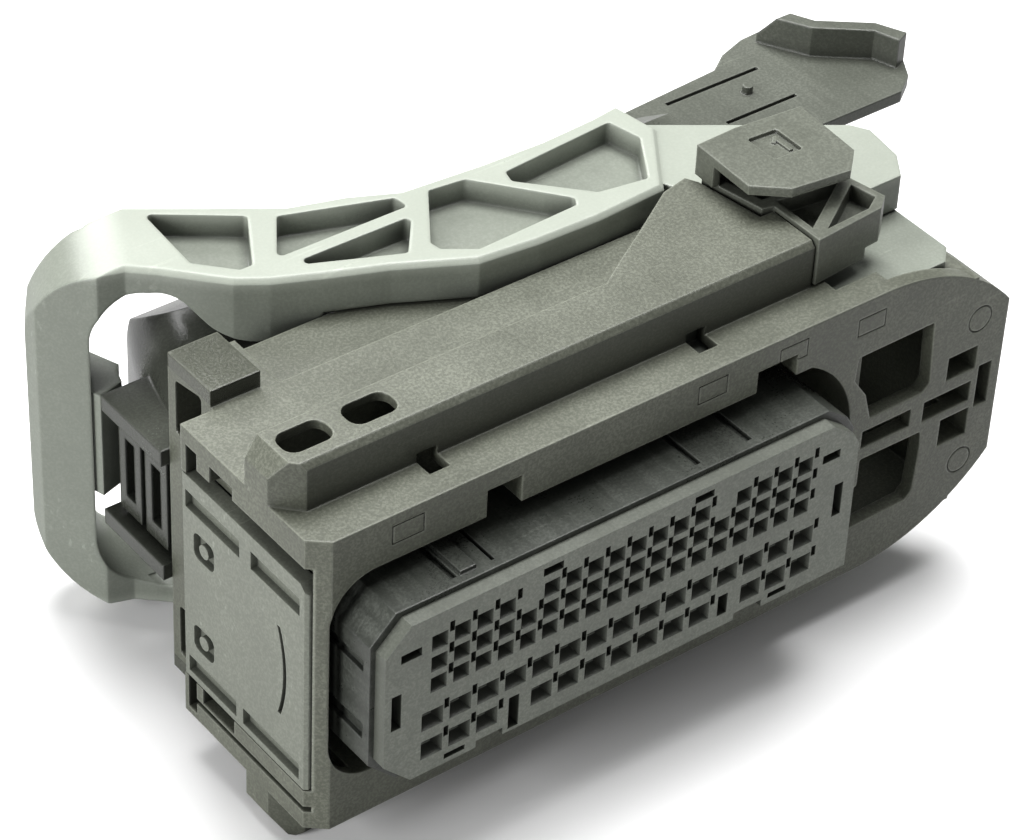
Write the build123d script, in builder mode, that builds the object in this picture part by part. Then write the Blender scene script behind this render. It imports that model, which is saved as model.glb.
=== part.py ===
from build123d import *

import os
from math import cos, pi, radians, sin

# A sealed multi-row cable connector with a mate-assist lever: 80 contact cells in a deep collar,
# a round-ended wing that carries the lever's pivot, two racks driven by the lever, a side lock,
# a lever lock and a wire cover with a tie-down tongue. All sizes are in millimetres.
# x runs along the contact rows, y goes back from the contact face, z is up from mid-height.

# Contact face
SMALL_PITCH = 2.54
SMALL_COLUMNS = 18
SMALL_LEFT = 0.9
SMALL_TOP = 6.2
SMALL_MOUTH = 1.8
SMALL_HOLE = 0.85
SMALL_CAVITY = 1.5
SMALL_BLANKS = (4, 13)
LARGE_PITCH = 3.177
LARGE_ROW_PITCH = 3.53
LARGE_COLUMNS = 15
LARGE_LEFT = 0.33
LARGE_TOP = -3.05
LARGE_MOUTH = 2.45
LARGE_MOUTH_HEIGHT = 2.2
LARGE_HOLE = 1.35
LARGE_HOLE_HEIGHT = 0.8
LARGE_CAVITY = 2.1
LARGE_CAVITY_HEIGHT = 1.8
LARGE_BLANKS = (3, 11)
FUNNEL_DEPTH = 1.2
SLIT_WIDTH = 0.55
SLIT_HEIGHT = 1.2
SLIT_FLOOR = 0.5

# Contact block and its inner pieces
BLOCK_LEFT = -5.7
BLOCK_RIGHT = 51.5
BLOCK_HALF = 10.15
GROOVE_DEPTH = 0.5
GROOVE_BACK = 15.0
FACE_THICKNESS = 1.6
FACE_STEP = 0.6
FLANGE_FRONT = 20.0
SEAL_WIDTH = 3.6
SEAL_HEIGHT = 1.3
MAT_THICKNESS = 4.0
FIT = 0.2
GAP = 0.3

# Outer housing
HOUSING_LEFT = -8.95
COLLAR_FRONT = 5.6
COLLAR_BACK = 27.0
COLLAR_HALF = 17.65
LEDGE_END = 54.0
FRONT_WALL = 1.6
MOUTH_LEFT = -7.2
MOUTH_RIGHT = 54.7
MOUTH_HALF = 12.4
MOUTH_RADIUS = 5.0
MOUTH_ARC_START = 49.0
MOUTH_ARC_HEIGHT = 8.5
SHELF = 14.2
REAR_LEFT = -5.4
REAR_BACK = 34.5
REAR_STEP = 2.6
REAR_TOP = 16.2
REAR_RIGHT = 46.0
BOSS_TOP = COLLAR_HALF + 1.85
BOSS_RIGHT = 0.1
BASE_RIGHT = 70.5
WING_RIGHT = 75.3
WING_ROOM_LEFT = 57.2
WING_ROOM_HALF = 12.0
MARK_DEPTH = 0.2
FRONT_OUTLINES = ((1.2, 15.3), (46.4, 15.3), (36.4, 15.3), (56.4, 14.6))
WING_BACK = 12.6
TUNNEL_FRONT = 10.4
TUNNEL_BACK = 16.6
TUNNEL_RIGHT = 52.3
TUNNEL_TOP = 22.9
TUNNEL_WALL = 1.0
CORNER_CUT = 1.9

# Lever, pivot, racks
PIVOT_X = 61.5
PIVOT_Y = 24.5
STUB_RADIUS = 3.0
RUNNING_FIT = 0.05
LEVER_HALF = 21.0
ARM_BOTTOM = 16.6
ARM_THIN = 2.7
ARM_CHAMFER = 0.5
SKIRT_BOTTOM = 13.8
GRIP_HALF = 6.2
CROSSBAR_LEFT = -9.2
CROSSBAR_DEPTH = 5.7
HUB_BOTTOM = 16.5
HUB_TOP = 20.5
HUB_REACH = 11.0
POCKET_DEPTH = 2.5
PINION_RADIUS = 5.5
PINION_TEETH = 12
TOOTH_HEIGHT = 0.6
TOOTH_WIDTH = 1.3
RACK_LEFT = 14.0
RACK_RIGHT = 69.1
RACK_FRONT = 7.5
RACK_TOP = 16.2
RACK_STEP = 46.0

# Lever lock
LOCK_FRONT = 10.1
LOCK_FOOT_BACK = 13.0
LOCK_FOOT = 18.0
LOCK_TOP = 23.3
LOCK_BOTTOM = 21.0
LOCK_FLOOR = 0.4
BADGE_TOP = 26.7
BADGE_THICKNESS = 1.0
NUMERAL_RECESS = 0.4

# Side lock
SIDE_LOCK_FRONT = 6.9
SIDE_LOCK_TOP = 12.2
SIDE_LOCK_BOTTOM = -12.7
COMB_THICKNESS = 0.7
COMB_FRONT = 21.5
COMB_BACK = 25.0
COMB_RIGHT = 49.0
SIDE_MARK = 0.8

# Wire cover
COVER_HALF = 13.2
COVER_BACK = 54.0
COVER_RIGHT = 64.0
COVER_WALL = 1.5
COVER_REACH = 66.2
COVER_ROUNDING = 8.0
COVER_SHOULDER = 46.0
COVER_SLOPE = 50.0
CHANNEL_LEFT = -6.4
CHANNEL_BACK = 45.0
CHANNEL_HALF = 8.0
CHANNEL_WEB = 2.6
TONGUE_TOP = 8.3
TONGUE_THICKNESS = 1.4
TONGUE_RIGHT = 96.6
TONGUE_BACK = 58.3
TONGUE_FRONT = 40.7
TONGUE_WALL = 3.6

# The frame's origin is the middle of the underside of the whole connector
HOME = Plane(origin=(-(CROSSBAR_LEFT + TONGUE_RIGHT) / 2, -TONGUE_BACK / 2, TUNNEL_TOP))


def front(depth):
    """The upright plane at a depth y, with x to the right and z up."""
    return Plane(origin=HOME.from_local_coords((0, depth, 0)), x_dir=(1, 0, 0), z_dir=(0, -1, 0))


def side(x):
    """The upright plane at a place x, with y to the right and z up."""
    return Plane(origin=HOME.from_local_coords((x, 0, 0)), x_dir=(0, 1, 0), z_dir=(1, 0, 0))


def plate(outline, bottom, top, mode=Mode.ADD, radius=0.0):
    """A flat plate with an outline in x and y between two heights."""
    with BuildSketch(HOME.offset(bottom)) as profile:
        with BuildLine():
            Polyline(*outline, close=True)
        make_face()
        if radius:
            fillet(profile.vertices(), radius=radius)
    extrude(profile.sketch, amount=top - bottom, mode=mode)


def panel(outline, near, far, mode=Mode.ADD, radius=0.0):
    """An upright panel with an outline in x and z between two depths."""
    with BuildSketch(front(near)) as profile:
        with BuildLine():
            Polyline(*outline, close=True)
        make_face()
        if radius:
            fillet(profile.vertices(), radius=radius)
    extrude(profile.sketch, amount=near - far, mode=mode)


def bar(outline, left, right, mode=Mode.ADD, radius=0.0):
    """A bar along x with an outline in y and z."""
    with BuildSketch(side(left)) as profile:
        with BuildLine():
            Polyline(*outline, close=True)
        make_face()
        if radius:
            fillet(profile.vertices(), radius=radius)
    extrude(profile.sketch, amount=right - left, mode=mode)


def block(xs, ys, zs, mode=Mode.ADD):
    """A box from its three ranges."""
    with Locations((sum(xs) / 2, sum(ys) / 2, sum(zs) / 2)):
        Box(xs[1] - xs[0], ys[1] - ys[0], zs[1] - zs[0], mode=mode)


def post(x, y, radius, bottom, top, mode=Mode.ADD):
    """A round upright post."""
    with Locations((x, y, (bottom + top) / 2)):
        Cylinder(radius, top - bottom, mode=mode)


def small_cells():
    """Centres of the small cells, row by row."""
    return [
        (SMALL_LEFT + column * SMALL_PITCH, SMALL_TOP - row * SMALL_PITCH)
        for row in range(3)
        for column in range(SMALL_COLUMNS)
        if row > 0 or column not in SMALL_BLANKS
    ]


def large_cells():
    """Centres of the large cells, row by row."""
    return [
        (LARGE_LEFT + column * LARGE_PITCH, LARGE_TOP - row * LARGE_ROW_PITCH)
        for row in range(2)
        for column in range(LARGE_COLUMNS)
        if row == 0 or column not in LARGE_BLANKS
    ]


def cell_holes(near, far, small, large, large_height):
    """Cuts a straight hole at every cell between two depths."""
    with BuildSketch(front(near)) as holes:
        with Locations(*small_cells()):
            Rectangle(small, small)
        with Locations(*large_cells()):
            Rectangle(large, large_height)
    extrude(holes.sketch, amount=near - far, mode=Mode.SUBTRACT)


def mouth(depth, inset=0.0):
    """The collar's opening, with round corners on the left and one wide arc on the right."""
    with BuildSketch(front(depth)) as profile:
        with BuildLine():
            upper, lower = (MOUTH_ARC_START, MOUTH_HALF), (MOUTH_ARC_START, -MOUTH_HALF)
            Polyline(lower, (MOUTH_LEFT, -MOUTH_HALF), (MOUTH_LEFT, MOUTH_HALF), upper)
            ThreePointArc(upper, (MOUTH_RIGHT - 1.5, MOUTH_ARC_HEIGHT), (MOUTH_RIGHT, 0))
            ThreePointArc((MOUTH_RIGHT, 0), (MOUTH_RIGHT - 1.5, -MOUTH_ARC_HEIGHT), lower)
        make_face()
        fillet(profile.vertices().group_by(Axis.X)[0], radius=MOUTH_RADIUS)
        if inset:
            offset(amount=-inset)
    return profile.sketch


def block_outline(step):
    """The contact block's outline in x and z, each side moved in by a step."""
    left, right, half = BLOCK_LEFT + step, BLOCK_RIGHT - step, BLOCK_HALF - step
    return [
        (left, half - 2.75), (left + 2.8, half), (right - 3.5, half), (right - 1.0, half - 1.85),
        (right, half - 3.5), (right, -half), (left + 3.1, -half), (left, 3.15 - half),
    ]


def front_corner_cut():
    """Takes the collar's front left corner off at a slant, over its whole height."""
    plate(
        [
            (HOUSING_LEFT, COLLAR_FRONT + 1.6), (HOUSING_LEFT + CORNER_CUT, COLLAR_FRONT),
            (HOUSING_LEFT, COLLAR_FRONT),
        ],
        -COLLAR_HALF,
        COLLAR_HALF,
        mode=Mode.SUBTRACT,
    )


# Outer housing: collar, wing, tunnels and rear body. The upper half is built first, then mirrored.
with BuildPart(HOME) as outer_housing:
    block((HOUSING_LEFT, BASE_RIGHT), (COLLAR_FRONT, COLLAR_BACK), (0, SHELF))
    block((HOUSING_LEFT, LEDGE_END), (COLLAR_FRONT, COLLAR_BACK), (SHELF, COLLAR_HALF))
    block((REAR_LEFT, BASE_RIGHT), (COLLAR_BACK, REAR_BACK), (0, SHELF))
    block((REAR_LEFT, REAR_RIGHT), (COLLAR_BACK, REAR_BACK), (SHELF, REAR_TOP))
    block((REAR_LEFT, 2.0), (COLLAR_BACK, REAR_BACK), (SHELF, COLLAR_HALF))
    block((REAR_LEFT, BOSS_RIGHT), (COLLAR_BACK + 0.4, REAR_BACK), (COLLAR_HALF, BOSS_TOP))
    with BuildSketch(front(COLLAR_FRONT)) as wing:
        with BuildLine():
            Polyline(
                (WING_RIGHT, 9.6), (WING_RIGHT, 0), (50.0, 0), (50.0, COLLAR_HALF), (57.5, COLLAR_HALF),
            )
            ThreePointArc((57.5, COLLAR_HALF), (68.0, 15.3), (WING_RIGHT, 9.6))
        make_face()
    extrude(amount=COLLAR_FRONT - WING_BACK)
    block((LEDGE_END, 80.0), (COLLAR_FRONT + FRONT_WALL, 40.0), (SHELF, 30.0), mode=Mode.SUBTRACT)

    # Tunnel over the rack, with its left end cut back, and the raised triangle over the hub
    bar(
        [
            (TUNNEL_FRONT, COLLAR_HALF), (TUNNEL_FRONT, TUNNEL_TOP - 0.6), (TUNNEL_FRONT + 0.6, TUNNEL_TOP),
            (TUNNEL_BACK, TUNNEL_TOP), (TUNNEL_BACK, COLLAR_HALF),
        ],
        HOUSING_LEFT,
        TUNNEL_RIGHT,
    )
    triangle = [
        (31.5, TUNNEL_BACK - 0.2), (35.5, 18.9), (39.7, 21.4), (45.5, 25.0), (48.7, 25.7),
        (49.4, 24.4), (TUNNEL_RIGHT - 1.6, TUNNEL_BACK - 0.2),
    ]
    plate(triangle, COLLAR_HALF, TUNNEL_TOP)
    panel(
        [(HOUSING_LEFT, 20.7), (HOUSING_LEFT + 1.35, TUNNEL_TOP), (HOUSING_LEFT, TUNNEL_TOP)],
        TUNNEL_FRONT - 1,
        TUNNEL_BACK + 1,
        mode=Mode.SUBTRACT,
    )
    plate(
        [
            (HOUSING_LEFT, TUNNEL_FRONT + 2.6), (HOUSING_LEFT + 2.45, TUNNEL_FRONT),
            (HOUSING_LEFT, TUNNEL_FRONT),
        ],
        COLLAR_HALF,
        TUNNEL_TOP,
        mode=Mode.SUBTRACT,
    )
    block(
        (HOUSING_LEFT + 2.6, TUNNEL_RIGHT),
        (TUNNEL_FRONT + TUNNEL_WALL, TUNNEL_BACK - TUNNEL_WALL),
        (SHELF + 2.0, TUNNEL_TOP - TUNNEL_WALL),
        mode=Mode.SUBTRACT,
    )
    with BuildSketch(HOME.offset(TUNNEL_TOP)) as lightening_slots:
        with Locations((-4.4, 13.9), (2.65, 13.9)):
            RectangleRounded(5.2, 3.2, 1.3)
    extrude(amount=-2 * TUNNEL_WALL, mode=Mode.SUBTRACT)

    # Channel for the rack, room for the pinion and the hub, two ledge holes
    block(
        (RACK_LEFT - 9.0, LEDGE_END + 1), (RACK_FRONT - GAP, TUNNEL_BACK),
        (SHELF, RACK_TOP + GAP), mode=Mode.SUBTRACT,
    )
    block(
        (37.5, LEDGE_END + 1), (TUNNEL_BACK - 1, PIVOT_Y - PINION_RADIUS + 1.2),
        (SHELF, RACK_TOP + GAP), mode=Mode.SUBTRACT,
    )
    post(PIVOT_X, PIVOT_Y, HUB_REACH + 0.4, SHELF, HUB_TOP + GAP, mode=Mode.SUBTRACT)
    block((47.0, LEDGE_END + 1), (23.4, COLLAR_BACK), (SHELF, HUB_TOP + GAP), mode=Mode.SUBTRACT)
    for hole_left in (5.5, 36.8):
        block(
            (hole_left, hole_left + 2.3), (8.4, TUNNEL_FRONT + TUNNEL_WALL),
            (SHELF + 1, COLLAR_HALF + 1), mode=Mode.SUBTRACT,
        )
    block((LEDGE_END, 59.2), (RACK_FRONT - GAP, RACK_FRONT + 1.2), (RACK_TOP + GAP, COLLAR_HALF))
    post(PIVOT_X, PIVOT_Y, STUB_RADIUS, SHELF, HUB_TOP - 0.2)

    # Side opening under the boss behind the ledge
    bar(
        [(28.9, MOUTH_HALF - 1.6), (28.9, 17.8), (33.3, 17.0), (33.3, MOUTH_HALF - 1.6)],
        REAR_LEFT,
        REAR_LEFT + 4.5,
        mode=Mode.SUBTRACT,
        radius=0.5,
    )
    # Notches in the mouth's top wall
    block((10.0, 14.0), (COLLAR_FRONT, 8.6), (MOUTH_HALF - 1, SHELF + 1.3), mode=Mode.SUBTRACT)
    block((42.0, 47.0), (COLLAR_FRONT, 8.6), (MOUTH_HALF - 1, SHELF + 0.7), mode=Mode.SUBTRACT)
    mirror(about=HOME)

    # The mouth runs back as a well, with a step that the contact carrier rests against
    extrude(mouth(COLLAR_FRONT), amount=COLLAR_FRONT - COLLAR_BACK, mode=Mode.SUBTRACT)
    extrude(mouth(COLLAR_BACK, REAR_STEP), amount=COLLAR_BACK - REAR_BACK, mode=Mode.SUBTRACT)

    # The wing is hollow behind its front wall and open at the back
    block(
        (WING_ROOM_LEFT, BASE_RIGHT - FRONT_WALL),
        (COLLAR_FRONT + FRONT_WALL, REAR_BACK),
        (-WING_ROOM_HALF, WING_ROOM_HALF),
        mode=Mode.SUBTRACT,
    )
    upper_window = [
        (55.2, 10.8), (65.1, 10.9), (65.5, 3.1), (64.7, 2.3), (57.7, 2.2), (56.7, 5.6), (55.0, 8.0),
    ]
    lower_window = [
        (57.0, -2.8), (65.1, -2.9), (65.3, -5.0), (65.0, -10.5), (64.2, -11.4), (55.7, -11.6),
        (55.7, -6.2), (57.0, -6.2),
    ]
    for window in (upper_window, lower_window):
        panel(window, COLLAR_FRONT, COLLAR_FRONT + FRONT_WALL, mode=Mode.SUBTRACT, radius=0.3)
    wing_slots = [
        ((56.9, 63.4), (-1.4, 0.8)), ((65.1, 71.5), (-1.7, 0.8)), ((67.8, 71.8), (2.3, 5.2)),
        ((72.3, 74.1), (-3.0, 2.3)), ((67.8, 71.7), (-6.1, -2.7)),
    ]
    for xs, zs in wing_slots:
        block(xs, (COLLAR_FRONT, COLLAR_FRONT + 4.5), zs, mode=Mode.SUBTRACT)
    with BuildSketch(front(COLLAR_FRONT)) as round_marks:
        with Locations((71.5, 8.6), (71.3, -9.4)):
            Circle(1.6)
            Circle(1.4, mode=Mode.SUBTRACT)
    extrude(amount=-MARK_DEPTH, mode=Mode.SUBTRACT)

    # Bay for the side lock, the cut-back front corner, and the gaps above and below the bay
    block(
        (HOUSING_LEFT, MOUTH_LEFT + 3),
        (SIDE_LOCK_FRONT - FIT, COLLAR_BACK),
        (SIDE_LOCK_BOTTOM - FIT, SIDE_LOCK_TOP + FIT),
        mode=Mode.SUBTRACT,
    )
    front_corner_cut()
    gap_cuts = [
        ((18.6, 22.3), (SIDE_LOCK_TOP, 15.8)), ((22.3, 24.4), (SIDE_LOCK_TOP, 13.9)),
        ((24.4, 26.2), (SIDE_LOCK_TOP, 15.8)), ((SIDE_LOCK_FRONT - FIT, 18.6), (SIDE_LOCK_TOP, 14.4)),
        ((25.0, 26.4), (-16.9, SIDE_LOCK_BOTTOM)), ((SIDE_LOCK_FRONT - FIT, 25.0), (-15.6, -14.9)),
        ((18.6, 23.9), (-14.7, SIDE_LOCK_BOTTOM)),
    ]
    for ys, (low, high) in gap_cuts:
        block((HOUSING_LEFT, HOUSING_LEFT + 1.7), ys, (low, high), mode=Mode.SUBTRACT)
        if low == SIDE_LOCK_TOP:
            block((HOUSING_LEFT, HOUSING_LEFT + 4.5), ys, (low + 1, high), mode=Mode.SUBTRACT)

    # Shallow outlines on the front face
    with BuildSketch(front(COLLAR_FRONT)) as outlines:
        with Locations(*FRONT_OUTLINES):
            Rectangle(3.6, 2.2)
            Rectangle(3.3, 1.9, mode=Mode.SUBTRACT)
    extrude(amount=-MARK_DEPTH, mode=Mode.SUBTRACT)

# Front plate: the face with the cell mouths
with BuildPart(HOME) as front_plate:
    panel(block_outline(FACE_STEP), 0, FACE_THICKNESS)
    with BuildSketch(front(0)) as small_funnels:
        with Locations(*small_cells()):
            Rectangle(SMALL_MOUTH, SMALL_MOUTH)
    extrude(amount=-FUNNEL_DEPTH, taper=21, mode=Mode.SUBTRACT)
    with BuildSketch(front(0)) as large_funnels:
        with Locations(*large_cells()):
            Rectangle(LARGE_MOUTH, LARGE_MOUTH_HEIGHT)
    extrude(amount=-FUNNEL_DEPTH, taper=23, mode=Mode.SUBTRACT)
    cell_holes(0, FACE_THICKNESS, SMALL_HOLE, LARGE_HOLE, LARGE_HOLE_HEIGHT)
    with BuildSketch(front(0)) as slits:
        with Locations(*[(x + 1.35, z + 1.1) for x, z in small_cells()]):
            Rectangle(SLIT_WIDTH, SLIT_HEIGHT)
        with Locations(*[(x + 1.6, z + 1.1) for x, z in large_cells()]):
            Rectangle(SLIT_WIDTH, SLIT_HEIGHT)
    extrude(amount=SLIT_FLOOR - FACE_THICKNESS, mode=Mode.SUBTRACT)
    face_slots = [
        ((-3.4, -1.1), (5.5, 6.5)), ((-4.35, -3.25), (-2.3, 1.9)), ((12.5, 14.8), (8.0, 8.9)),
        ((30.3, 32.6), (8.1, 8.9)), ((46.3, 48.5), (5.4, 6.4)), ((48.3, 49.4), (-2.1, 1.9)),
        ((1.8, 4.2), (-9.0, -8.4)), ((40.9, 43.2), (-8.9, -8.3)),
        ((9.2, 10.4), (-9.2, -5.3)), ((34.4, 35.6), (-8.0, -5.5)),
        ((5.5, 8.6), (-BLOCK_HALF, -8.7)), ((36.6, 40.1), (-BLOCK_HALF, -8.7)),
    ]
    for xs, zs in face_slots:
        block(xs, (0, FACE_THICKNESS), zs, mode=Mode.SUBTRACT)

# Contact carrier: the deep block behind the face and the flange that locates it in the collar
with BuildPart(HOME) as contact_carrier:
    panel(block_outline(0), FACE_THICKNESS, FLANGE_FRONT)
    extrude(mouth(FLANGE_FRONT, FIT), amount=FLANGE_FRONT - COLLAR_BACK)
    cell_holes(FACE_THICKNESS, COLLAR_BACK, SMALL_CAVITY, LARGE_CAVITY, LARGE_CAVITY_HEIGHT)
    groove = (FACE_THICKNESS + 1, GROOVE_BACK)
    for x, width in ((4.2, 0.7), (8.6, 0.4), (32.6, 0.7), (38.8, 0.8)):
        xs = (x - width / 2, x + width / 2)
        block(xs, groove, (BLOCK_HALF - GROOVE_DEPTH, BLOCK_HALF), mode=Mode.SUBTRACT)
        block(xs, groove, (-BLOCK_HALF, GROOVE_DEPTH - BLOCK_HALF), mode=Mode.SUBTRACT)
    for zs in ((3.9, 5.2), (-4.3, -2.5)):
        block((BLOCK_LEFT, BLOCK_LEFT + GROOVE_DEPTH), groove, zs, mode=Mode.SUBTRACT)
    block((4.9, 6.7), groove, (BLOCK_HALF, BLOCK_HALF + 0.4))
    comb_heights = (
        SMALL_TOP + SMALL_CAVITY / 2 + 0.8,
        (SMALL_TOP - 2 * SMALL_PITCH + LARGE_TOP) / 2 + 0.015,
        LARGE_TOP - LARGE_ROW_PITCH / 2,
    )
    for height in comb_heights:
        block(
            (MOUTH_LEFT, COMB_RIGHT + 0.6),
            (COMB_FRONT - FIT, COMB_BACK + FIT),
            (height - COMB_THICKNESS / 2 - 0.15, height + COMB_THICKNESS / 2 + 0.15),
            mode=Mode.SUBTRACT,
        )

# Side lock: the plate on the left with the comb that reaches in between the contact rows
with BuildPart(HOME) as side_lock:
    bar(
        [
            (SIDE_LOCK_FRONT, SIDE_LOCK_BOTTOM), (SIDE_LOCK_FRONT, SIDE_LOCK_TOP - 0.9),
            (SIDE_LOCK_FRONT + 0.9, SIDE_LOCK_TOP), (COLLAR_BACK - FIT, SIDE_LOCK_TOP),
            (COLLAR_BACK - FIT, SIDE_LOCK_BOTTOM),
        ],
        HOUSING_LEFT,
        MOUTH_LEFT - 0.1,
    )
    side_windows = [
        ((17.5, 26.4), (8.3, 10.4)), ((7.9, 15.7), (8.3, 10.4)),
        ((18.2, 26.2), (-12.0, -10.0)), ((7.9, 17.1), (-12.0, -10.0)),
    ]
    for ys, zs in side_windows:
        block((HOUSING_LEFT, HOUSING_LEFT + SIDE_MARK), ys, zs, mode=Mode.SUBTRACT)
    with BuildSketch(side(HOUSING_LEFT)) as eyes:
        with Locations((23.4, 4.75), (23.6, -6.8)):
            RectangleRounded(3.4, 3.1, 0.8)
            Circle(0.75, mode=Mode.SUBTRACT)
    extrude(amount=SIDE_MARK, mode=Mode.SUBTRACT)
    with BuildSketch(side(HOUSING_LEFT)) as bow:
        with BuildLine():
            ThreePointArc((10.95, 4.7), (9.95, -0.6), (10.85, -6.0))
            Line((10.85, -6.0), (11.35, -6.0))
            ThreePointArc((11.35, -6.0), (10.5, -0.6), (11.45, 4.7))
            Line((11.45, 4.7), (10.95, 4.7))
        make_face()
    extrude(amount=SIDE_MARK, mode=Mode.SUBTRACT)
    front_corner_cut()
    for height in comb_heights:
        block(
            (MOUTH_LEFT - 0.1, COMB_RIGHT),
            (COMB_FRONT, COMB_BACK),
            (height - COMB_THICKNESS / 2, height + COMB_THICKNESS / 2),
        )

# Radial seal: a soft ring round the contact block, against the flange
with BuildPart(HOME) as radial_seal:
    with BuildSketch(front(FLANGE_FRONT)) as ring:
        with BuildLine():
            Polyline(*block_outline(-SEAL_HEIGHT), close=True)
        make_face()
        with BuildLine():
            Polyline(*block_outline(-0.1), close=True)
        make_face(mode=Mode.SUBTRACT)
    extrude(amount=SEAL_WIDTH)
    extrude(mouth(FLANGE_FRONT, FIT), amount=SEAL_WIDTH, mode=Mode.INTERSECT)

# Mat seal and the grid that holds it, both behind the carrier
with BuildPart(HOME) as mat_seal:
    extrude(mouth(COLLAR_BACK, REAR_STEP + FIT), amount=-MAT_THICKNESS)
    cell_holes(COLLAR_BACK, COLLAR_BACK + MAT_THICKNESS, SMALL_HOLE + 0.3, LARGE_HOLE + 0.3, LARGE_HOLE)

with BuildPart(HOME) as seal_grid:
    extrude(
        mouth(COLLAR_BACK + MAT_THICKNESS, REAR_STEP + FIT),
        amount=COLLAR_BACK + MAT_THICKNESS - REAR_BACK,
    )
    cell_holes(COLLAR_BACK + MAT_THICKNESS, REAR_BACK, SMALL_CAVITY, LARGE_CAVITY, LARGE_CAVITY_HEIGHT)

# Lever: one moulded U with a truss in each arm, a round-cornered crossbar and two toothed hubs
ARM_OUTLINE = [
    (-2.2, 54.5), (2.3, 54.6), (8.7, 50.3), (15.5, 45.8), (21.3, 44.0), (26.2, 41.7), (35.4, 41.0),
    (42.7, 40.8), (49.3, 41.2), (52.9, 41.7), (53.8, 36.1), (48.0, 27.8), (39.6, 27.3), (32.5, 27.5),
    (25.8, 28.2), (18.2, 32.1), (12.7, 34.3), (7.5, 36.6), (4.6, 38.5), (2.2, 41.0), (-0.2, 43.6),
    (-2.7, 45.9), (-5.4, 46.7), (CROSSBAR_LEFT, 52.0), (CROSSBAR_LEFT, 54.0), (-7.5, 56.0), (-3.0, 55.0),
]
HUB_OUTLINE = [
    (69.1, 16.6), (71.1, 19.5), (71.8, 24.3), (70.7, 26.1), (59.8, 33.4), (53.1, 37.9), (48.6, 28.7),
    (50.9, 24.4), (51.6, 20.6), (54.6, 16.6),
]
TRUSS_POCKETS = [
    [(3.4, 52.2), (11.5, 46.4), (7.5, 39.6), (6.1, 39.6), (2.8, 43.1)],
    [(13.8, 44.8), (25.0, 40.9), (25.2, 39.1), (10.0, 39.2)],
    [(9.9, 37.7), (24.6, 37.6), (20.8, 32.9)],
    [(28.4, 40.1), (32.5, 39.6), (39.5, 31.1), (38.9, 30.1), (26.8, 29.6), (23.7, 31.7), (23.5, 33.0)],
    [(36.5, 38.4), (50.3, 39.5), (51.2, 35.6), (47.5, 29.7), (42.0, 30.6), (36.1, 36.8)],
]
LEVER_SIDE = Plane(
    origin=HOME.from_local_coords((CROSSBAR_LEFT, 54.0, 0)),
    x_dir=(cos(radians(-25)), sin(radians(-25)), 0),
    z_dir=(-sin(radians(25)), -cos(radians(25)), 0),
)
with BuildPart(HOME) as lever:
    plate(ARM_OUTLINE, -LEVER_HALF, LEVER_HALF)
    chamfer(lever.faces().sort_by(Axis.Z)[-1].edges(), length=ARM_CHAMFER)
    with BuildSketch(LEVER_SIDE) as bow_shape:
        with Locations((50.0, 0)):
            Rectangle(100.0, 2 * LEVER_HALF)
        fillet(bow_shape.vertices().group_by(Axis.X)[0], radius=10.0)
        with BuildSketch(mode=Mode.SUBTRACT) as bow_inside:
            with Locations((50.0 + CROSSBAR_DEPTH, 0)):
                Rectangle(100.0, 2 * (LEVER_HALF - ARM_THIN))
            fillet(bow_inside.vertices().group_by(Axis.X)[0], radius=6.0)
    extrude(amount=80.0, both=True, mode=Mode.INTERSECT)
    arm_layer = [point for point in ARM_OUTLINE if point[0] > 2.0]
    plate(arm_layer, ARM_BOTTOM, LEVER_HALF - ARM_THIN / 2)
    # The arm's front side bulges down near the crossbar
    skirt = [
        (-0.2, 43.6), (2.2, 41.0), (4.6, 38.5), (7.5, 36.6), (12.7, 34.3), (13.4, 36.0), (8.4, 38.4),
        (6.0, 40.2), (3.9, 42.3), (1.3, 45.0),
    ]
    plate(skirt, SKIRT_BOTTOM, LEVER_HALF - ARM_THIN / 2)
    with BuildSketch(front(33.0)) as below_skirt:
        with BuildLine():
            Spline(
                (-1.0, 18.3), (0.8, 18.1), (2.0, 16.8), (3.2, 15.1), (4.9, 14.1), (6.7, SKIRT_BOTTOM),
                (8.5, 14.1), (10.8, 14.7), (12.2, ARM_BOTTOM),
            )
            Polyline((12.2, ARM_BOTTOM), (14.0, ARM_BOTTOM), (14.0, 13.0), (-1.0, 13.0), (-1.0, 18.3))
        make_face()
    extrude(amount=-13.0, mode=Mode.SUBTRACT)
    plate(HUB_OUTLINE, HUB_BOTTOM, HUB_TOP)
    for pocket in TRUSS_POCKETS:
        plate(pocket, LEVER_HALF - POCKET_DEPTH, LEVER_HALF, mode=Mode.SUBTRACT, radius=0.5)

    # Pinion under the hub
    with BuildSketch(HOME.offset(SHELF + GAP)) as pinion:
        with Locations((PIVOT_X, PIVOT_Y)):
            Circle(PINION_RADIUS - TOOTH_HEIGHT)
            with PolarLocations(PINION_RADIUS - 0.4, PINION_TEETH, start_angle=-90):
                Trapezoid(TOOTH_WIDTH, 2 * TOOTH_HEIGHT + 0.5, 75, rotation=-90)
    extrude(amount=HUB_BOTTOM - SHELF - GAP)
    post(PIVOT_X, PIVOT_Y, STUB_RADIUS + RUNNING_FIT, SHELF, HUB_TOP, mode=Mode.SUBTRACT)
    block((CROSSBAR_LEFT - 1, WING_RIGHT), (0, TONGUE_BACK), (-LEVER_HALF - 1, 0), mode=Mode.SUBTRACT)
    mirror(about=HOME)

    # The middle of the crossbar is thicker, as a grip
    grip = [
        (-5.4, 46.7), (-2.4, 47.6), (-2.0, 48.9), (-1.2, 50.0), (-2.5, 53.3), (-3.2, 54.8), (-7.0, 52.0),
    ]
    plate(grip, -GRIP_HALF, GRIP_HALF)

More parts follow.
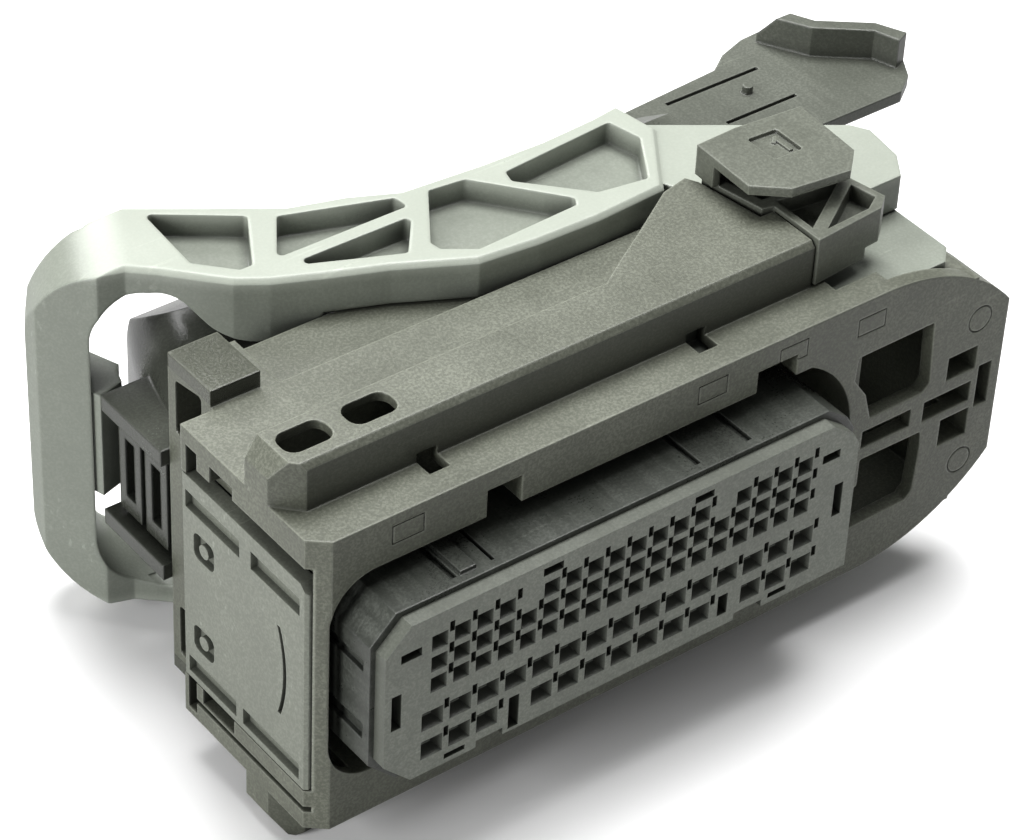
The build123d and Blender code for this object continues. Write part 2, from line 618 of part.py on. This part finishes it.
# Racks: a flat plate in each channel with a rib up into the tunnel and teeth on its rear edge
TOOTH_PITCH = 2 * pi * PINION_RADIUS / PINION_TEETH
PITCH_LINE = PIVOT_Y - PINION_RADIUS
with BuildPart(HOME) as slide_top:
    plate(
        [
            (RACK_LEFT, RACK_FRONT), (RACK_RIGHT - 1.7, RACK_FRONT), (RACK_RIGHT, RACK_FRONT + 1.7),
            (RACK_RIGHT, PITCH_LINE - TOOTH_HEIGHT), (RACK_STEP, PITCH_LINE - TOOTH_HEIGHT),
            (RACK_STEP, TUNNEL_BACK - 0.6), (RACK_LEFT, TUNNEL_BACK - 0.6),
        ],
        SHELF + GAP,
        RACK_TOP,
    )
    with BuildSketch(HOME.offset(SHELF + GAP)) as rack_teeth:
        for tooth in range(-4, 3):
            with Locations((PIVOT_X + (tooth + 0.5) * TOOTH_PITCH, PITCH_LINE - 0.1)):
                Trapezoid(TOOTH_WIDTH, 2 * TOOTH_HEIGHT, 72)
    extrude(amount=RACK_TOP - SHELF - GAP)
    block(
        (RACK_LEFT, 42.0),
        (TUNNEL_FRONT + TUNNEL_WALL + GAP, TUNNEL_BACK - TUNNEL_WALL - GAP),
        (RACK_TOP - 1, TUNNEL_TOP - TUNNEL_WALL - GAP),
    )

with BuildPart() as slide_bottom:
    add(slide_top.part)
    mirror(about=HOME, mode=Mode.REPLACE)

# Lever lock: a ribbed frame beside the triangle, with a tenon in the tunnel and a numbered top plate
LOCK_LEFT = TUNNEL_RIGHT + FIT
LOCK_OUTLINE = [
    (LOCK_LEFT, LOCK_FRONT), (61.0, 10.8), (62.6, 12.1), (61.6, 16.9), (60.6, 25.0), (52.1, 25.6),
    (49.75, 24.4), (TUNNEL_RIGHT - 1.05, TUNNEL_BACK + 0.5), (LOCK_LEFT, TUNNEL_BACK + 0.2),
]
LOCK_FOOT_OUTLINE = [
    (LOCK_LEFT, LOCK_FRONT), (61.0, 10.8), (62.6, 12.1), (62.4, LOCK_FOOT_BACK), (LOCK_LEFT, LOCK_FOOT_BACK),
]
LOCK_POCKETS = [
    [(54.4, 11.1), (59.9, 11.4), (61.7, 12.5), (61.1, 15.4)],
    [(53.3, 12.0), (60.6, 16.6), (53.3, 17.4)],
    [(52.3, 18.3), (60.5, 17.9), (59.8, 24.2), (52.3, 24.7), (51.0, 24.0)],
]
BADGE_OUTLINE = [
    (49.6, 25.3), (54.5, 25.5), (62.3, 24.8), (61.7, 16.1), (59.2, 13.7), (52.5, 14.5), (49.3, 17.2),
]
BADGE_WALL = [
    (49.6, 25.3), (49.5, 22.6), (50.3, 22.4), (50.4, 24.5), (60.4, 24.0), (60.4, 17.4), (61.2, 17.4),
    (61.4, 24.9), (54.5, 25.5),
]
with BuildPart(HOME) as lever_lock:
    plate(LOCK_OUTLINE, LOCK_BOTTOM, LOCK_TOP)
    plate(LOCK_FOOT_OUTLINE, LOCK_FOOT, LOCK_BOTTOM)
    for pocket in LOCK_POCKETS:
        plate(pocket, LOCK_BOTTOM + LOCK_FLOOR, LOCK_TOP, mode=Mode.SUBTRACT)
    plate(
        [(54.6, 11.1), (59.9, 11.4), (61.0, 12.2), (56.8, 12.2)],
        LOCK_FOOT + LOCK_FLOOR,
        LOCK_BOTTOM + LOCK_FLOOR,
        mode=Mode.SUBTRACT,
    )
    block((59.3, 63.0), (LOCK_FRONT, LOCK_FOOT_BACK), (LOCK_FOOT, LOCK_FOOT + 1.3), mode=Mode.SUBTRACT)

    # Numbered top plate on its walls
    plate(BADGE_WALL, LOCK_TOP, BADGE_TOP - BADGE_THICKNESS)
    plate(BADGE_OUTLINE, BADGE_TOP - BADGE_THICKNESS, BADGE_TOP)
    plate(
        [(54.2, 23.3), (57.7, 23.1), (57.7, 19.1), (54.3, 19.3)],
        BADGE_TOP - NUMERAL_RECESS,
        BADGE_TOP,
        mode=Mode.SUBTRACT,
        radius=0.3,
    )
    plate(
        [
            (56.65, 19.8), (57.1, 19.8), (57.15, 22.5), (56.75, 22.5), (56.1, 21.8), (56.3, 21.5),
            (56.65, 21.8),
        ],
        BADGE_TOP - NUMERAL_RECESS,
        BADGE_TOP - NUMERAL_RECESS / 2,
    )

    # Tenon in the tunnel, narrow where the lever's hub sweeps past
    tenon_front = TUNNEL_FRONT + TUNNEL_WALL + GAP
    tenon_top = TUNNEL_TOP - TUNNEL_WALL - GAP
    block((43.0, 51.0), (tenon_front, TUNNEL_BACK - TUNNEL_WALL - GAP), (LOCK_FOOT, tenon_top))
    block((50.5, LOCK_LEFT + 1), (tenon_front, LOCK_FOOT_BACK), (LOCK_FOOT, tenon_top))

# Wire cover: a domed shell over the wires, a latch channel on its left and a tie-down tongue
COVER_SECTION = [
    (REAR_BACK, COVER_HALF), (COVER_SHOULDER, COVER_HALF), (COVER_SLOPE, COVER_HALF - 2.7),
    (COVER_BACK, COVER_HALF - 5.6), (COVER_BACK, 5.6 - COVER_HALF), (COVER_SLOPE, 2.7 - COVER_HALF),
    (COVER_SHOULDER, -COVER_HALF), (REAR_BACK, -COVER_HALF),
]
TONGUE_OUTLINE = [
    (COVER_RIGHT - 1, TONGUE_FRONT), (92.4, TONGUE_FRONT), (95.1, 42.6), (TONGUE_RIGHT, 45.1),
    (95.0, 48.5), (89.8, 52.5), (86.9, TONGUE_BACK), (84.3, 58.1), (80.7, 56.9), (78.1, 55.1),
    (COVER_RIGHT - 1, COVER_BACK),
]
TONGUE_WALL_OUTLINE = [
    (TONGUE_RIGHT, 45.1), (95.0, 48.5), (89.8, 52.5), (86.9, TONGUE_BACK), (85.5, 56.9), (88.6, 51.5),
    (93.9, 47.3), (94.9, 44.4),
]
with BuildPart(HOME) as wire_cover:
    # The left end is round about the lever's pivot, and its rim is rounded
    with Locations((PIVOT_X, PIVOT_Y, 0)):
        Cylinder(COVER_REACH, 2 * COVER_HALF)
    fillet(wire_cover.edges().filter_by(GeomType.CIRCLE), radius=COVER_ROUNDING)
    bar(COVER_SECTION, PIVOT_X - COVER_REACH, COVER_RIGHT, mode=Mode.INTERSECT)
    offset(amount=-COVER_WALL, openings=wire_cover.faces().sort_by(Axis.Y)[0])

    # Wire outlet in the right end
    block(
        (COVER_RIGHT - 3, COVER_RIGHT),
        (40.5, 51.0),
        (-6.0, TONGUE_TOP - TONGUE_THICKNESS - 1.2),
        mode=Mode.SUBTRACT,
    )

    # Latch channel with two slotted tongues between its flanges
    for z in (CHANNEL_HALF - 0.9, 0.9 - CHANNEL_HALF):
        block((CHANNEL_LEFT, CHANNEL_WEB), (REAR_BACK, CHANNEL_BACK), (z - 0.9, z + 0.9))
    block((-CHANNEL_WEB, CHANNEL_WEB), (REAR_BACK, CHANNEL_BACK), (-CHANNEL_HALF, CHANNEL_HALF))
    for y in (37.4, 42.0):
        for half_width, half_height, right, mode in (
            (1.9, 5.5, -CHANNEL_WEB, Mode.ADD), (0.8, 3.6, -CHANNEL_WEB - 1, Mode.SUBTRACT),
        ):
            ys, zs = (y - half_width, y + half_width), (-half_height, half_height)
            block((CHANNEL_LEFT + 1.2, right), ys, zs, mode=mode)

    # Tie-down tongue with its end wall, a pin and two grooves
    plate(TONGUE_OUTLINE, TONGUE_TOP - TONGUE_THICKNESS, TONGUE_TOP)
    plate(TONGUE_WALL_OUTLINE, TONGUE_TOP, TONGUE_TOP + TONGUE_WALL)
    wall_top = TONGUE_TOP + TONGUE_WALL
    bar(
        [(TONGUE_BACK, TONGUE_TOP), (TONGUE_BACK - 0.6, TONGUE_TOP), (TONGUE_BACK - 3.2, wall_top),
         (TONGUE_BACK, wall_top)],
        TONGUE_RIGHT - 16,
        TONGUE_RIGHT,
        mode=Mode.SUBTRACT,
    )
    post(78.4, 49.9, 0.6, TONGUE_TOP, TONGUE_TOP + 0.9)
    for xs, ys in (((69.6, 82.3), (52.6, 53.1)), ((72.8, 82.4), (46.3, 46.8))):
        block(xs, ys, (TONGUE_TOP - 0.6, TONGUE_TOP), mode=Mode.SUBTRACT)

PIECES = {
    "outer_housing": outer_housing,
    "front_plate": front_plate,
    "contact_carrier": contact_carrier,
    "side_lock": side_lock,
    "radial_seal": radial_seal,
    "mat_seal": mat_seal,
    "seal_grid": seal_grid,
    "lever": lever,
    "slide_top": slide_top,
    "slide_bottom": slide_bottom,
    "lever_lock": lever_lock,
    "wire_cover": wire_cover,
}
os.makedirs("parts", exist_ok=True)
for name, piece in PIECES.items():
    piece.part.label = name
    export_step(piece.part, f"parts/{name}.step")
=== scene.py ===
from math import cos, radians, sin

import bpy
from bpy.props import FloatProperty, FloatVectorProperty, PointerProperty
from mathutils import Matrix, Vector


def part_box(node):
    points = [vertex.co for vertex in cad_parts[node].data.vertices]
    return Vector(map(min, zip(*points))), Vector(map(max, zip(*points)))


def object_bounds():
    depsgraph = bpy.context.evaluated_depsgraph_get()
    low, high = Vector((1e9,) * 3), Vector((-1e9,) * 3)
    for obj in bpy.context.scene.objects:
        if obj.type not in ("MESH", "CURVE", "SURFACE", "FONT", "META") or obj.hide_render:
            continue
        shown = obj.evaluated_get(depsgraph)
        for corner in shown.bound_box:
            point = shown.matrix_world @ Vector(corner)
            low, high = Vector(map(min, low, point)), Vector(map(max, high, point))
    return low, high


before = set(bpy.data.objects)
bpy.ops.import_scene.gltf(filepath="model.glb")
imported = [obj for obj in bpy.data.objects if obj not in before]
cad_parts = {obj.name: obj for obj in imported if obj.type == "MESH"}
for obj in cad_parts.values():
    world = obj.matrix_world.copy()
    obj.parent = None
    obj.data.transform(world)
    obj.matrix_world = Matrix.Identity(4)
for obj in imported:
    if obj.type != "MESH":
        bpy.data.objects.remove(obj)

bl_info = {
    "name": "Lever connector",
    "version": (1, 0, 0),
    "blender": (4, 5, 0),
    "location": "3D View > Sidebar > Connector",
    "description": "Finishes for a sealed cable connector with a mate-assist lever",
    "category": "Object",
}

CAD_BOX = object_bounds()
MM = 0.001
FACE_LOW, FACE_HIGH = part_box("front_plate")

# Places on the connector, in millimetres from the first cell column, the contact face and mid-height
FACE_LEFT_EDGE = -5.1
RAIL_LOW = 19.2
RAIL_HIGH = 21.0
DOME_RIGHT = 58.0
TONGUE_LEFT = 66.0
COLLAR_FRONT = 6.5
TUNNEL_FRONT = 10.0
BOSS_FRONT = 27.2
LEDGE_TOP = 17.8
ZONE_BLUR = 0.2
EYE = (-151.82, -197.26, 232.70)

# Surface of the moulded plastic
# Reach of the painted shade in gaps and inner corners
GAP_REACH = 3.5
RELIEF_DEPTH = 0.05
DRIFT_SCALE = 90.0
GRAIN_SCALE = 3300.0
FLOW_SCALE = (900.0, 45.0, 900.0)
SCRATCH_TURN = (0.3, 0.2, 0.6)
SCRATCH_SCALE = (60.0, 1500.0, 700.0)
PLASTIC_IOR = 1.5

# Studio: each lamp's place from the connector's middle and its two sides in metres, then its watts
IMAGE_WIDTH = 1024
FLOOR_GAP = 0.0002
FLOOR_SEEN = 0.93
FLOOR_BOUNCED = 0.42
WORLD_LIGHT = 0.16
MIDDLE = (0.0, 0.0, 0.02)
LAMPS = (
    ("light_above", (0.15, 0.15, 0.9), 0.65, 0.5, 15.0),
    ("light_left", (-0.9, -0.05, 0.3), 0.35, 0.5, 7.4),
    ("light_front", (-0.2, -0.9, 0.3), 0.5, 0.4, 0.4),
    ("light_behind", (0.05, 0.9, 0.6), 0.6, 0.35, 5.5),
)

ORIGIN = Vector((
    FACE_LOW[0] - FACE_LEFT_EDGE * MM,
    FACE_LOW[1],
    (FACE_LOW[2] + FACE_HIGH[2]) / 2,
))


def place(x, y, z):
    """A point in millimetres from the first cell column, the contact face and mid-height, in the frame."""
    return ORIGIN + Vector((x, y, z)) * MM


# Shader expressions

class Socket:
    """An output socket that takes part in Python arithmetic; each operation adds a Math node."""

    def __init__(self, look, output):
        self.look = look
        self.output = output

    def _math(self, operation, first, second):
        node = self.look.node("ShaderNodeMath", {"operation": operation}, {0: first, 1: second})
        return node.out(0)

    def __add__(self, other):
        return self._math("ADD", self, other)

    def __radd__(self, other):
        return self._math("ADD", other, self)

    def __sub__(self, other):
        return self._math("SUBTRACT", self, other)

    def __rsub__(self, other):
        return self._math("SUBTRACT", other, self)

    def __mul__(self, other):
        return self._math("MULTIPLY", self, other)

    def __rmul__(self, other):
        return self._math("MULTIPLY", other, self)


class Step:
    """A node, with its outputs by name or number."""

    def __init__(self, look, node):
        self.look = look
        self.node = node

    def out(self, key):
        return Socket(self.look, self.node.outputs[key])


class Look:
    """A material while it is being built."""

    def __init__(self, name):
        self.material = bpy.data.materials.new(name)
        self.material.use_nodes = True
        self.tree = self.material.node_tree
        self.tree.nodes.clear()

    def node(self, kind, settings=None, inputs=None):
        """Adds a node, sets it up, then fills or links its sockets."""
        node = self.tree.nodes.new(kind)
        for key, value in (settings or {}).items():
            if key == "stops":
                ramp = node.color_ramp
                for index, (position, colour) in enumerate(value):
                    stop = ramp.elements[index] if index < 2 else ramp.elements.new(position)
                    stop.position = position
                    stop.color = colour
            else:
                setattr(node, key, value)
        for key, value in (inputs or {}).items():
            if isinstance(value, Socket):
                self.tree.links.new(value.output, node.inputs[key])
            else:
                node.inputs[key].default_value = value
        return Step(self, node)

    def finish(self, shader):
        output = self.node("ShaderNodeOutputMaterial")
        self.tree.links.new(shader.output, output.node.inputs["Surface"])
        return self.material


def grey(level):
    return (level, level, level, 1.0)


def smoothstep(look, value, low, high):
    """0 below low, 1 above high, smooth between."""
    return look.node(
        "ShaderNodeMapRange", {"interpolation_type": "SMOOTHSTEP"},
        {"Value": value, "From Min": low, "From Max": high},
    ).out(0)


def noise(look, vector, scale, detail, roughness):
    """A random pattern around 0.5."""
    return look.node(
        "ShaderNodeTexNoise", {"noise_dimensions": "3D"},
        {"Vector": vector, "Scale": scale, "Detail": detail, "Roughness": roughness},
    ).out(0)


def stretched(look, vector, scale, turn=(0.0, 0.0, 0.0)):
    """Coordinates with their own scale along each axis, after a turn."""
    return look.node(
        "ShaderNodeMapping", {"vector_type": "POINT"}, {"Vector": vector, "Rotation": turn, "Scale": scale}
    ).out(0)


def blend(look, amount, first, second):
    """The first colour where the amount is 0, the second where it is 1."""
    return look.node("ShaderNodeMix", {"data_type": "RGBA"}, {0: amount, 6: first, 7: second}).out(2)


def scaled(colour, factor, lift=0.0):
    """A colour made darker or lighter, with full alpha."""
    return (*(min(1.0, part * factor + lift) for part in colour), 1.0)


def zones(look, spot):
    """Masks for parts of the connector: dome, sheltered, boss, rim and rail."""
    position = look.node("ShaderNodeSeparateXYZ", None, {"Vector": spot})
    along = position.out("X") - ORIGIN[0]
    depth = position.out("Y") - ORIGIN[1]
    height = position.out("Z") - ORIGIN[2]
    height = look.node("ShaderNodeMath", {"operation": "ABSOLUTE"}, {0: height}).out(0)
    own_normal = look.node("ShaderNodeTexCoord").out("Normal")
    sideways = look.node("ShaderNodeSeparateXYZ", None, {"Vector": own_normal}).out("Y")
    forward = smoothstep(look, sideways * -1.0, 0.4, 0.9)
    behind_boss_front = smoothstep(look, depth, BOSS_FRONT * MM, (BOSS_FRONT + ZONE_BLUR) * MM)
    above_ledge = smoothstep(look, height, LEDGE_TOP * MM, (LEDGE_TOP + ZONE_BLUR) * MM)
    # Where painted shade (dome, sheltered, boss, rim) and a painted highlight (rail) fall
    return {
        "dome": 1.0 - smoothstep(look, along, DOME_RIGHT * MM, TONGUE_LEFT * MM),
        "sheltered": smoothstep(look, depth, COLLAR_FRONT * MM, TUNNEL_FRONT * MM) * forward,
        "boss": behind_boss_front * above_ledge,
        "rim": 1.0 - forward,
        "rail": smoothstep(look, height, RAIL_LOW * MM, RAIL_HIGH * MM),
    }


def moulded(
    name, colour, roughness, grain, mottling,
    edge_radius=0.25, edge_wear_and_highlight=0.35, streaks=0.0, scuffs=0.2, rail_highlight=0.0, crevice_shade=0.85,
    dome_shade=0.0, sheltered_shade=0.0, boss_shade=0.0, rim_shade=0.0,
):
    """Moulded plastic: spark-eroded grain, slow colour drift, softened and slightly polished edges.

    rail_highlight paints a highlight on what stands out most above and below the connector's mid-height,
    and grime paints shade into gaps and inner corners. dome_shade paints shade on and polishes what lies
    left of the tie-down tongue, sheltered_shade paints shade on the forward faces that stand back from the
    collar's front, boss_shade on the boss behind the collar, and rim_shade on all that doesn't face
    forward. edge_wear_and_highlight lightens edges, partly as wear and partly as a painted highlight.
    """
    look = Look(name)
    spot = look.node("ShaderNodeTexCoord").out("Object")
    drift = noise(look, spot, DRIFT_SCALE, 4.0, 0.6)
    fine = noise(look, spot, GRAIN_SCALE, 2.0, 0.7)
    flow_marks = noise(look, stretched(look, spot, FLOW_SCALE), 1.0, 3.0, 0.5)
    scratches = noise(look, stretched(look, spot, SCRATCH_SCALE, SCRATCH_TURN), 1.0, 2.0, 0.5)
    scuffed = smoothstep(look, scratches, 0.64, 0.72) * smoothstep(look, drift, 0.48, 0.6)

    rounded = look.node("ShaderNodeBevel", {"samples": 6}, {"Radius": edge_radius * MM}).out(0)
    flat = look.node("ShaderNodeNewGeometry").out("Normal")
    alike = look.node(
        "ShaderNodeVectorMath", {"operation": "DOT_PRODUCT"}, {0: rounded, 1: flat}
    ).out("Value")
    edge = smoothstep(look, 1.0 - alike, 0.01, 0.25)

    speckle = smoothstep(look, fine, 0.36, 0.66) - 0.5
    tint = (drift - 0.5) * mottling + speckle * (mottling * 0.5) + (flow_marks - 0.5) * streaks
    tint = 0.5 + tint + scuffed * scuffs
    shade = look.node(
        "ShaderNodeValToRGB",
        {"stops": [(0.0, scaled(colour, 0.55)), (0.5, (*colour, 1.0)), (1.0, scaled(colour, 1.7, 0.02))]},
        {0: tint},
    ).out(0)
    zone = zones(look, spot)
    # Edges lighten, partly as wear and partly as a painted highlight, and the rails get a painted
    # highlight
    wear_and_painted_light = blend(look, edge * edge_wear_and_highlight + zone["rail"] * rail_highlight, shade, scaled(colour, 2.0, 0.08))

    # Painted shade: gaps and inner corners darken where ambient occlusion finds surfaces close by
    openness = look.node(
        "ShaderNodeAmbientOcclusion", {"samples": 6}, {"Distance": GAP_REACH * MM}
    ).out("AO")
    closed = (1.0 - smoothstep(look, openness, 0.1, 0.8)) * crevice_shade
    # Painted shade by place and facing: the dome, forward faces set back from the collar's front, the
    # boss, and all that doesn't face forward
    shaded = zone["dome"] * dome_shade + zone["sheltered"] * sheltered_shade
    shaded = shaded + zone["boss"] * boss_shade + zone["rim"] * rim_shade
    wear_and_painted_light = blend(look, closed + shaded, wear_and_painted_light, scaled(colour, 0.2))

    relief = look.node(
        "ShaderNodeBump", None,
        {
            "Strength": grain, "Distance": RELIEF_DEPTH * MM, "Height": fine + 0.4 * flow_marks,
            "Normal": rounded,
        },
    ).out(0)
    gloss = roughness + (drift - 0.5) * 0.22 + (fine - 0.5) * 0.12 - scuffed * 0.1 - edge * 0.16
    gloss = gloss - zone["dome"] * (dome_shade * 0.2) - zone["boss"] * (boss_shade * 0.4)
    shader = look.node(
        "ShaderNodeBsdfPrincipled", None,
        {"Base Color": wear_and_painted_light, "Roughness": gloss, "Normal": relief, "IOR": PLASTIC_IOR},
    ).out(0)
    return look.finish(shader)


def dress(node, material):
    """Gives a carried-over node its finish."""
    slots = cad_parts[node].material_slots
    for entry in slots:
        entry.material = material
    if not slots:
        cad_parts[node].data.materials.append(material)


# Settings

class HousingSettings(bpy.types.PropertyGroup):
    shell_colour: FloatVectorProperty(
        name="Shell colour", description="Dark plastic of the collar and wing", subtype="COLOR",
        default=(0.105, 0.112, 0.086), min=0.0, max=1.0,
    )
    face_colour: FloatVectorProperty(
        name="Face colour", description="Plastic of the contact face", subtype="COLOR",
        default=(0.176, 0.190, 0.158), min=0.0, max=1.0,
    )
    block_colour: FloatVectorProperty(
        name="Block colour", description="Plastic of the contact block", subtype="COLOR",
        default=(0.044, 0.048, 0.041), min=0.0, max=1.0,
    )
    cover_colour: FloatVectorProperty(
        name="Cover colour", description="Black plastic of the wire cover", subtype="COLOR",
        default=(0.092, 0.099, 0.081), min=0.0, max=1.0,
    )
    lock_colour: FloatVectorProperty(
        name="Lock colour", description="Plastic of the lever lock", subtype="COLOR",
        default=(0.108, 0.116, 0.093), min=0.0, max=1.0,
    )
    side_colour: FloatVectorProperty(
        name="Side colour", description="Smooth plastic of the side lock", subtype="COLOR",
        default=(0.172, 0.184, 0.152), min=0.0, max=1.0,
    )
    seal_colour: FloatVectorProperty(
        name="Seal colour", description="Silicone of the seals", subtype="COLOR",
        default=(0.16, 0.05, 0.03), min=0.0, max=1.0,
    )


class LeverSettings(bpy.types.PropertyGroup):
    colour: FloatVectorProperty(
        name="Lever colour", description="Light grey plastic of the lever and racks", subtype="COLOR",
        default=(0.215, 0.234, 0.198), min=0.0, max=1.0,
    )
    roughness: FloatProperty(
        name="Roughness", description="Gloss of the lever", default=0.36, min=0.0, max=1.0,
    )


class StageSettings(bpy.types.PropertyGroup):
    azimuth: FloatProperty(
        name="Azimuth", description="Way the camera looks, from straight back towards the wing",
        default=radians(38.99), subtype="ANGLE",
    )
    elevation: FloatProperty(
        name="Elevation", description="How far the camera looks down",
        default=radians(38.83), subtype="ANGLE",
    )
    roll: FloatProperty(
        name="Roll", description="Turn of the picture", default=radians(2.91), subtype="ANGLE",
    )
    focal_pixels: FloatProperty(
        name="Focal length", description="In pixels of the picture", default=3754.95,
    )
    floor_size: FloatProperty(
        name="Floor size", description="Side of the floor", default=6.0, unit="LENGTH",
    )


class ConnectorSettings(bpy.types.PropertyGroup):
    housing: PointerProperty(type=HousingSettings)
    lever: PointerProperty(type=LeverSettings)
    stage: PointerProperty(type=StageSettings)


# Pieces

class CONNECTOR_OT_housing(bpy.types.Operator):
    """Finish the collar, the contact block and the wire cover"""
    bl_idname = "connector.housing"
    bl_label = "Housing"

    def execute(self, context):
        look = context.scene.connector.housing
        # Painted shade on the shell's set-back forward faces and boss, on the contact face's rim and on
        # the cover's dome
        shell = moulded(
            "housing_shell", look.shell_colour, 0.42, 0.7, 0.7, edge_radius=0.4, edge_wear_and_highlight=0.95,
            sheltered_shade=0.6, boss_shade=0.45,
        )
        face = moulded(
            "contact_face", look.face_colour, 0.38, 0.25, 0.5, edge_radius=0.1, streaks=0.3, rim_shade=0.6,
        )
        block = moulded("contact_block", look.block_colour, 0.3, 0.2, 0.6, edge_wear_and_highlight=0.6, streaks=0.9)
        cover = moulded(
            "cover_black", look.cover_colour, 0.36, 0.4, 0.5, edge_radius=0.4, edge_wear_and_highlight=0.6, streaks=0.4,
            dome_shade=0.65, sheltered_shade=0.35,
        )
        dress("outer_housing", shell)
        dress("front_plate", face)
        dress("contact_carrier", block)
        dress("seal_grid", block)
        dress("wire_cover", cover)
        return {"FINISHED"}


class CONNECTOR_OT_seals(bpy.types.Operator):
    """Finish the silicone seals"""
    bl_idname = "connector.seals"
    bl_label = "Seals"

    def execute(self, context):
        look = context.scene.connector.housing
        silicone = moulded("seal_silicone", look.seal_colour, 0.5, 0.1, 0.2, edge_wear_and_highlight=0.0, scuffs=0.0)
        dress("radial_seal", silicone)
        dress("mat_seal", silicone)
        return {"FINISHED"}


class CONNECTOR_OT_locks(bpy.types.Operator):
    """Finish the side lock and the lever lock"""
    bl_idname = "connector.locks"
    bl_label = "Locks"

    def execute(self, context):
        look = context.scene.connector.housing
        side = moulded(
            "side_lock_plastic", look.side_colour, 0.45, 0.3, 0.45, edge_radius=0.15, edge_wear_and_highlight=0.6,
        )
        badge = moulded(
            "lever_lock_plastic", look.lock_colour, 0.38, 0.35, 0.5, edge_radius=0.35, edge_wear_and_highlight=0.8,
        )
        dress("side_lock", side)
        dress("lever_lock", badge)
        return {"FINISHED"}


class CONNECTOR_OT_lever(bpy.types.Operator):
    """Finish the lever and its racks"""
    bl_idname = "connector.lever"
    bl_label = "Lever"

    def execute(self, context):
        look = context.scene.connector.lever
        # The lever's rails get a painted highlight, and its set-back forward faces get painted shade
        pale = moulded(
            "lever_grey", look.colour, look.roughness, 0.12, 0.22, edge_radius=0.5, edge_wear_and_highlight=0.6,
            streaks=0.1, rail_highlight=0.45, sheltered_shade=0.2,
        )
        for node in ("lever", "slide_top", "slide_bottom"):
            dress(node, pale)
        return {"FINISHED"}


# Stage

def floor_paper(name, seen, bounced):
    """A matt sheet, lighter to the camera than to the light that it throws back."""
    look = Look(name)
    direct = look.node("ShaderNodeLightPath").out("Is Camera Ray")
    tone = blend(look, direct, grey(bounced), grey(seen))
    shader = look.node(
        "ShaderNodeBsdfPrincipled", None, {"Base Color": tone, "Roughness": 0.8, "Specular IOR Level": 0.2}
    ).out(0)
    return look.finish(shader)


def soft_box(name, spot, target, width, height, power):
    """A rectangular studio light aimed at a point."""
    bpy.ops.object.light_add(type="AREA", location=spot)
    lamp = bpy.context.object
    lamp.name = name
    lamp.data.shape = "RECTANGLE"
    lamp.data.size = width
    lamp.data.size_y = height
    lamp.data.energy = power
    lamp.rotation_euler = (Vector(target) - Vector(spot)).to_track_quat("-Z", "Y").to_euler()
    return lamp


class CONNECTOR_OT_stage(bpy.types.Operator):
    """Add the floor, the studio light and the camera"""
    bl_idname = "connector.stage"
    bl_label = "Stage"

    def execute(self, context):
        scene = context.scene
        look = scene.connector.stage
        bpy.ops.object.select_all(action="DESELECT")
        bpy.ops.mesh.primitive_plane_add(size=look.floor_size, location=(0, 0, CAD_BOX[0][2] - FLOOR_GAP))
        floor = context.object
        floor.name = "floor"
        floor.data.materials.append(floor_paper("floor_paper", FLOOR_SEEN, FLOOR_BOUNCED))

        middle = Vector(MIDDLE)
        for name, offset, width, height, power in LAMPS:
            soft_box(name, middle + Vector(offset), middle, width, height, power)

        world = bpy.data.worlds.new("studio")
        scene.world = world
        world.use_nodes = True
        nodes = world.node_tree.nodes
        nodes["Background"].inputs["Color"].default_value = grey(1.0)
        path = nodes.new("ShaderNodeLightPath")
        bright = nodes.new("ShaderNodeMapRange")
        bright.inputs["To Min"].default_value = WORLD_LIGHT
        bright.inputs["To Max"].default_value = 1.0
        world.node_tree.links.new(path.outputs["Is Camera Ray"], bright.inputs["Value"])
        world.node_tree.links.new(bright.outputs[0], nodes["Background"].inputs["Strength"])

        eye = place(*EYE)
        away = Vector((
            sin(look.azimuth) * cos(look.elevation),
            cos(look.azimuth) * cos(look.elevation),
            -sin(look.elevation),
        ))
        level = Vector((cos(look.azimuth), -sin(look.azimuth), 0.0))
        upright = level.cross(away)
        right = level * cos(look.roll) + upright * sin(look.roll)
        up = right.cross(away)
        turn = Matrix((right, up, -away)).transposed()
        data = bpy.data.cameras.new("camera")
        camera = bpy.data.objects.new("camera", data)
        scene.collection.objects.link(camera)
        camera.matrix_world = Matrix.Translation(eye) @ turn.to_4x4()
        data.sensor_fit = "HORIZONTAL"
        data.lens = look.focal_pixels / IMAGE_WIDTH * data.sensor_width
        data.clip_start = 0.01
        scene.camera = camera
        scene.view_settings.view_transform = "Standard"
        return {"FINISHED"}


class CONNECTOR_PT_panel(bpy.types.Panel):
    bl_label = "Connector"
    bl_idname = "CONNECTOR_PT_panel"
    bl_space_type = "VIEW_3D"
    bl_region_type = "UI"
    bl_category = "Connector"

    def draw(self, context):
        settings = context.scene.connector
        for label in HousingSettings.__annotations__:
            self.layout.prop(settings.housing, label)
        for label in LeverSettings.__annotations__:
            self.layout.prop(settings.lever, label)
        for piece in PIECES:
            self.layout.operator(piece.bl_idname)


PIECES = (
    CONNECTOR_OT_housing,
    CONNECTOR_OT_seals,
    CONNECTOR_OT_locks,
    CONNECTOR_OT_lever,
    CONNECTOR_OT_stage,
)
CLASSES = (HousingSettings, LeverSettings, StageSettings, ConnectorSettings, *PIECES, CONNECTOR_PT_panel)


def register():
    for entry in CLASSES:
        bpy.utils.register_class(entry)
    bpy.types.Scene.connector = PointerProperty(type=ConnectorSettings)


def unregister():
    del bpy.types.Scene.connector
    for entry in reversed(CLASSES):
        bpy.utils.unregister_class(entry)


def main():
    register()
    bpy.ops.connector.housing()
    bpy.ops.connector.seals()
    bpy.ops.connector.locks()
    bpy.ops.connector.lever()
    bpy.ops.connector.stage()


if __name__ == "__main__":
    main()
